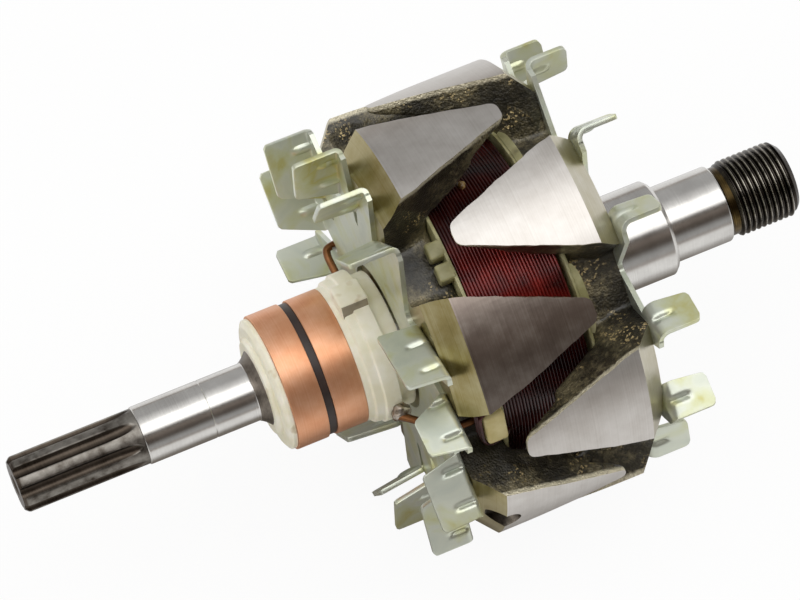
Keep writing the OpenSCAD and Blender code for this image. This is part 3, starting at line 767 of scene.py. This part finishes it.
def buildCarrier():
    s = station
    profile = [(s["boss"], 9.72), (s["boss"], 12.0), (s["boss"] + 0.7, 12.7), (s["endCollar"], 12.7),
               (s["endCollar"], 15.4), (s["endCollar"] + 0.9, 17.0), (s["ringB"], 17.0), (s["ringB"], 13.98),
               (s["flange"], 13.98), (s["flange"], 17.5), (s["flange"] + 1.6, 17.7),
               (s["flange"] + 1.9, 18.5), (s["flange"] + 4.1, 18.7), (s["flange"] + 4.3, 19.4),
               (s["foot"], 19.4), (s["foot"], 17.5), (s["rearPlate"], 17.5), (s["rearPlate"], 9.72),
               (s["boss"], 9.72)]
    turnedPiece("ringCarrier", profile, ivoryNylon, ["slip_ring_carrier"], 160, 0.3)
    for i, turn in enumerate((-13.6, 166.4)):
        low, high = (s["foot"] - 7.2, -4.2, 15.0), (s["foot"] + 0.3, 4.2, 21.5)
        lug = blockPiece("terminalLug" + str(i), low, high, turn, 0.7, [ivoryNylon, paintedShadeNylon],
                         (), lambda p: p + Vector((0, 1.2, 0)) * (p.y < 0) * (p.z > 18))
        # painted shade: the lug's face that looks one way round the rotor takes the darker nylon
        near = around(0, 1, turn + 90)
        for face in lug.data.polygons:
            face.material_index = 1 if face.normal.dot(near) > 0.8 else 0
    for name, node, a, b in (("rearRing", "rear_slip_ring", s["ringB"], s["gap"]),
                             ("frontRing", "front_slip_ring", s["ringA"], s["flange"])):
        ring = [(a, 14.0), (a, 17.55), (b, 17.55), (b, 14.0), (a, 14.0)]
        turnedPiece(name, ring, turnedCopper, [node], 192, 0.2)
    gap = [(s["gap"], 14.0), (s["gap"], 17.1), (s["ringA"], 17.1), (s["ringA"], 14.0), (s["gap"], 14.0)]
    turnedPiece("ringGap", gap, brownPhenolic, ["ring_insulator"], 160, 0.15)
    print("slip rings: 2")


# round wire along a smooth curve through the points
def wirePiece(name, knots, radius, material, replaced, sides=12):
    steps, path = 8, []
    angles = [math.tau * k / sides for k in range(sides)]
    for i in range(len(knots) - 1):
        p0, p1, p2, p3 = knots[max(i - 1, 0)], knots[i], knots[i + 1], knots[min(i + 2, len(knots) - 1)]
        for k in range(steps):
            u = k / steps
            path.append((p1 * 2 + (p2 - p0) * u + (p0 * 2 - p1 * 5 + p2 * 4 - p3) * u ** 2
                         + (p1 * 3 - p0 - p2 * 3 + p3) * u ** 3) / 2)
    path.append(knots[-1])
    side, rings = None, [[path[0]]]
    for i, p in enumerate(path):
        run = (path[min(i + 1, len(path) - 1)] - path[max(i - 1, 0)]).normalized()
        side = run.orthogonal() if side is None else side
        side = (side - run * side.dot(run)).normalized()
        up = run.cross(side)
        rings.append([p + (side * math.cos(a) + up * math.sin(a)) * radius for a in angles])
    loftPiece(name, rings + [[path[-1]]], material, replaced, 50)


# drop that set before it could run smooth
def lumpPiece(name, middle, radius, seed, material, replaced=()):
    bm = bmesh.new()
    bmesh.ops.create_icosphere(bm, subdivisions=4, radius=radius)
    points = []
    for v in bm.verts:
        swell = 0.28 * noise.noise(v.co * 0.45 + Vector((seed, 3, 1)))
        p = v.co * (1 + swell + 0.08 * noise.noise(v.co * 1.6))
        points.append(Vector((p.x * 0.9, p.y * 0.9, p.z)) + middle)
    faces = [[v.index for v in f.verts] for f in bm.faces]
    bm.free()
    newPiece(name, points, faces, [material], replaced, None, 60)


# moulded block with rounded edges, turned from the top to its angle
def blockPiece(name, low, high, turn, ease, materials, replaced=(), shape=None):
    bm = bmesh.new()
    bmesh.ops.create_cube(bm, size=1.0)
    low, high = Vector(low), Vector(high)
    for v in bm.verts:
        v.co = Vector([low[i] + (v.co[i] + 0.5) * (high[i] - low[i]) for i in range(3)])
        if shape:
            v.co = shape(v.co)
    bmesh.ops.bevel(bm, geom=list(bm.edges), offset=ease, segments=3, profile=0.5, affect="EDGES")
    bm.transform(Matrix.Rotation(math.radians(turn), 4, "X"))
    bm.verts.ensure_lookup_table()
    points = [v.co.copy() for v in bm.verts]
    faces = [[v.index for v in f.verts] for f in bm.faces]
    bm.free()
    return newPiece(name, points, faces, materials, replaced, None, 40)


def buildBobbin():
    look = {"wall": 0.9, "lip": 40.9, "hub": 25.02, "floor": 26.2, "half": 13.48, "tabW": 4.6, "tabL": 3.5,
            "tabR": 37.05, "gap": 1.4}
    m, wall, hub, lip, floor = station["mid"], look["wall"], look["hub"], look["lip"], look["floor"]
    back, front = m - look["half"], m + look["half"]
    profile = [(back, hub), (back, lip), (back + wall, lip), (back + wall, floor), (front - wall, floor),
               (front - wall, lip), (front, lip), (front, hub), (back, hub)]
    turnedPiece("coilBobbin", profile, oliveNylon, ["bobbin"], 180, 0.25)
    for i, turn in enumerate((6.4, 186.4)):
        for j, side in enumerate((-1, 1)):
            a = side * (look["gap"] + look["tabW"]) / 2
            low = (back - look["tabL"], a - look["tabW"] / 2, look["tabR"])
            high = (back + wall, a + look["tabW"] / 2, lip)
            blockPiece("bobbinTab" + str(i * 2 + j), low, high, turn, 0.7, [oliveNylon])
    for i in range(6):  # thin petals between the front claws
        rings = []
        for k in range(25):
            u = k / 12 - 1
            reach, turn = 0.3 + 1.2 * (1 - u ** 4), -23.6 + 60 * i + 12.5 * u
            corners = ((-0.2, 41.2), (reach, 41.8 + 0.25 * reach), (reach, 41.3 + 0.25 * reach), (-0.2, 40.7))
            rings.append([around(front + dx, r, turn) for dx, r in corners])
        ends = [[sum(ring, Vector()) / 4] for ring in (rings[0], rings[-1])]
        petal = ends[:1] + rings + ends[1:]
        loftPiece("bobbinPetal" + str(i), petal, oliveNylon, (), 40)
    for i, turn in enumerate((66.4, 246.4)):
        node = ("start", "finish")[i]
        blockPiece(node + "Anchor", (m - 18.9, -4.4, look["tabR"]), (m - 13.5, 4.4, 44.9), turn, 0.9,
                   [yellowNylon], [node + "_anchor"])
    print("bobbin: 4 tabs, 6 petals, 2 anchors")


# leads run from the soldered posts over the fan into the valleys, winding ends loop round the anchors
def buildLeads():
    s, m = station, station["mid"]
    look = {"lead": 1.0, "wire": 0.5, "postX": s["foot"] - 2.1, "postTurn": 22.0, "lump": 2.7}
    post, plate = look["postX"], s["rearPlate"]
    for i, turn in enumerate((66.4, 246.4)):
        node, way = (("start", 1), ("finish", -1))[i]
        knots = [(post - 0.6, 20.6, 25), (post + 0.6, 21.8, 21), (plate - 2.2, 26.5, 16),
                 (plate - 1.5, 32.0, 8), (plate - 1.5, 37.6, 1.5), (plate + 0.4, 39.0, 0),
                 (m - 19.2, 39.0, 0)]
        route = [around(x, r, turn + swing * way) for x, r, swing in knots]
        wirePiece(node + "Lead", route, look["lead"], varnishedCopper, [node + "_lead"])
        joint = around(post + 1.2, 20.4, turn + look["postTurn"] * way)
        lumpPiece(node + "Solder", joint, look["lump"], i * 9, fluxedSolder, [node + "_post"])
        spin = Matrix.Rotation(math.radians(turn), 3, "X")
        for k in range(3):
            r, y, x = 43.6 - k * 1.15, 5.0 + 0.1 * k, m - 19.5 - 0.12 * k
            loop = [(m - 12.2, y + 0.6, 40.4), (m - 13.6, y + 0.3, 42.2), (m - 16.5, y, r),
                    (x + 1.2, y - 0.1, r), (x, y - 1.4, r - 0.1), (x - 0.1, 0, r - 0.2),
                    (x, 1.4 - y, r - 0.1), (x + 1.2, 0.1 - y, r), (m - 16.5, -y, r),
                    (m - 13.6, -y - 0.3, 42.0), (m - 12.2, -y - 0.6, 40.4)]
            wirePiece(node + "Tail" + str(k), [spin @ Vector(p) for p in loop], look["wire"], enamelledWire,
                      [node + "_tail"] if k == 0 else (), 10)
    print("leads: 2, winding ends: 6")


# the core stays as its solid, with the poles' finish
def dressCore():
    slots = cadNodes["pole_core"].data.materials
    slots.clear()
    slots.append(forgedIron)
    print("core: forged finish")


buildShaft()
buildPole("rearPole", "rear_pole", station["rearFace"], 1, varnishedIron,
          {"x": station["rearFace"] + 5.8, "turn": 96.4, "r": 4.0, "floor": 50.7})
buildPole("frontPole", "front_pole", station["frontFace"], -1, paleVarnishedIron)
buildFan("rearFan", "rear_fan", station["rearFace"], 1,
         [-67, -34.5, -16, 3.5, 38, 58.5, 86, 114, 146, 164, 184, 211, 237, 268.6],
         {"height": 12.6, "length": 19.3, "slant": 4.5, "corner": 1.0, "innerCorner": 0.6, "across": 60,
          "darts": (4.2, 13.1), "dartReach": 5.6, "dartHalf": 1.1, "dartDepth": 0.75, "bend": 0.6,
          "flat": 2.0, "notchR": 33.5,
          "odd": {38: (10.8, 19.3, 0.0, 31.0, 55.0, 0.0, -1.0),
                  58.5: (10.4, 15.3, 5.8, 31.0, 55.0, 0.0, -1.5),
                  86: (10.9, 16.4, 1.6, 31.0, 55.2, 0.0, 0.5), 114: (11.0, 18.0, 3.0, 33.0, 54.8, 0.0, 0.0),
                  164: (13.2, 17.5, 4.5, 40.0, 55.0, 8.0, 0.0), 184: (14.5, 19.3, 4.5, 31.0, 55.0, 0.0, 0.0),
                  237: (12.6, 11.5, 2.0, 31.0, 55.0, 0.0, 0.0)}})
buildFan("frontFan", "front_fan", station["frontFace"], -1,
         [-67, -42, -8, 19, 49.4, 78.7, 126, 152, 178, 204, 234, 264],
         {"height": 11.5, "length": 9.6, "slant": 1.0, "corner": 1.6, "innerCorner": 1.2, "across": 32,
          "darts": (4.8,), "dartReach": 6.0, "dartHalf": 1.25, "dartDepth": 0.8, "bend": 1.9, "flat": 2.6,
          "notchR": 37.0, "odd": {-8: (11.5, 9.6, 1.0, 38.0, 55.0, 0.0, 0.0)}})
buildCoil()
buildCarrier()
buildBobbin()
buildLeads()
dressCore()


# lens and stance found from the picture's own vanishing and the circles of the rotor, in mm and degrees
def buildCamera():
    view = {"lens": 202.5, "sensor": 36.0, "away": 10.2, "roll": 21.87, "up": 66.0, "aimX": -23.3,
            "aim": (28.14, 3.62, -1115.2)}
    away, roll, up = (math.radians(view[k]) for k in ("away", "roll", "up"))
    d = Vector((math.cos(away) * math.cos(roll), math.cos(away) * math.sin(roll), -math.sin(away)))
    n = Vector((-math.sin(roll), math.cos(roll), 0))
    w = Vector((math.sin(away) * math.cos(roll), math.sin(away) * math.sin(roll), math.cos(away)))
    yAxis = n * math.sin(up) - w * math.cos(up)
    zAxis = n * math.cos(up) + w * math.sin(up)
    turn = Matrix((d, yAxis, zAxis))  # rows are the rotor's axes in the camera's frame
    origin = Vector(view["aim"]) - d * view["aimX"]
    camera = addObject("photoCamera", bpy.data.cameras.new("photoCamera"))
    camera.data.lens, camera.data.sensor_width = view["lens"], view["sensor"]
    camera.data.clip_start, camera.data.clip_end = 0.01, 50
    camera.matrix_world = Matrix.Translation(-(turn @ origin) * mm) @ turn.to_4x4()
    scene.camera = camera


# bright strip overhead, grey room on the far side, dark room behind the camera
def buildLight():
    look = {"strip": 2.1, "far": 0.48, "edge": 2.2, "near": (0.088, 0.072, 0.06), "band": (0.22, 0.18, 0.155),
            "bench": (0.46, 0.4), "stripFrom": -25, "stripTo": 14, "soft": 3}
    world = bpy.data.worlds.new("studio")
    scene.world = world
    tree = emptyTree(world)
    ray = addNode(tree, "SeparateXYZ", {}, {0: addNode(tree, "TexCoord").outputs["Generated"]})
    lean = addNode(tree, "Math", {"operation": "ARCTAN2"}, {0: ray.outputs["Y"], 1: ray.outputs["Z"]})
    share = addNode(tree, "MapRange", {"From Min": -math.pi / 2, "From Max": math.pi / 2}, {0: lean})
    top = look["strip"]
    edges = [look[key] + way * look["soft"] for key in ("stripFrom", "stripTo") for way in (-1, 1)]
    place = [(edge + 90) / 180 for edge in edges]
    brown = tuple(v / top for v in look["near"])
    weak = tuple(v / top for v in look["band"])
    bench, far = [v / top for v in look["bench"]], look["far"] / top
    stops = [(0.0, bench[0]), (0.07, bench[1]), (0.14, brown), (0.19, brown), (0.26, weak), (0.32, brown),
             (place[0], brown), (place[1], 1.0), (place[2], 1.0), (place[3], look["edge"] * far), (0.75, far),
             (1.0, far)]
    ramp = addNode(tree, "ValToRGB", {"stops": stops}, {0: share})
    lit = addNode(tree, "Background", {"Strength": top}, {"Color": ramp})
    white = addNode(tree, "Background", {"Strength": 1.0, "Color": (1, 1, 1, 1)})
    seen = addNode(tree, "LightPath").outputs["Is Camera Ray"]
    both = addNode(tree, "MixShader", {}, {0: seen, 1: lit, 2: white})
    addNode(tree, "OutputWorld", {}, {"Surface": both})


def buildFloor():
    look = {"reach": 3.0, "glow": 0.93, "drop": 0.0003, "middle": (0.05, 0, 0), "shrink": (0.55, 1, 0)}
    size, height = look["reach"], cadBox[0][2] - look["drop"]
    mesh = bpy.data.meshes.new("floor")
    corners = [(x * size, y * size, height) for x, y in ((-1, -1), (1, -1), (1, 1), (-1, 1))]
    mesh.from_pydata(corners, [], [(0, 1, 2, 3)])
    floor = addObject("floor", mesh)
    material = bpy.data.materials.new("whitePaper")
    tree = emptyTree(material)
    paper = addNode(tree, "BsdfDiffuse", {"Color": linearColour("#f2f2f0")})
    path = addNode(tree, "LightPath")
    # mirrored in the metal: the part's own shadow, then the sheet of paper, then the bench round it
    moved = addNode(tree, "VectorMath", {"operation": "ADD", 1: look["middle"]},
                    {0: addNode(tree, "TexCoord").outputs["Object"]})
    oval = addNode(tree, "VectorMath", {"operation": "MULTIPLY", 1: look["shrink"]}, {0: moved})
    spot = addNode(tree, "VectorMath", {"operation": "LENGTH"}, {0: oval})
    mirrored = addNode(tree, "ValToRGB", {"stops": [
        (0.0, "#6a635b"), (0.045, "#7a736b"), (0.085, "#ffffff"), (0.28, "#ffffff"), (0.5, "#988e86")]},
        {0: spot.outputs["Value"]})
    shade = addNode(tree, "Mix", {"data_type": "RGBA", 6: (1, 1, 1, 1)},
                    {0: path.outputs["Is Glossy Ray"], 7: mirrored})
    glow = addNode(tree, "Emission", {"Strength": 1.0}, {"Color": shade.outputs[2]})
    seen = addNode(tree, "Math", {"operation": "MAXIMUM"},
                   {0: path.outputs["Is Camera Ray"], 1: path.outputs["Is Glossy Ray"]})
    clear = addNode(tree, "Math", {"operation": "MAXIMUM"},
                    {0: seen, 1: path.outputs["Is Transmission Ray"]})
    share = addNode(tree, "Math", {"operation": "MULTIPLY", 1: look["glow"]}, {0: clear})
    both = addNode(tree, "MixShader", {}, {0: share, 1: paper, 2: glow})
    addNode(tree, "OutputMaterial", {}, {"Surface": both})
    mesh.materials.append(material)


buildCamera()
buildLight()
buildFloor()
scene.view_settings.view_transform = "Standard"
print("camera, light and floor set")
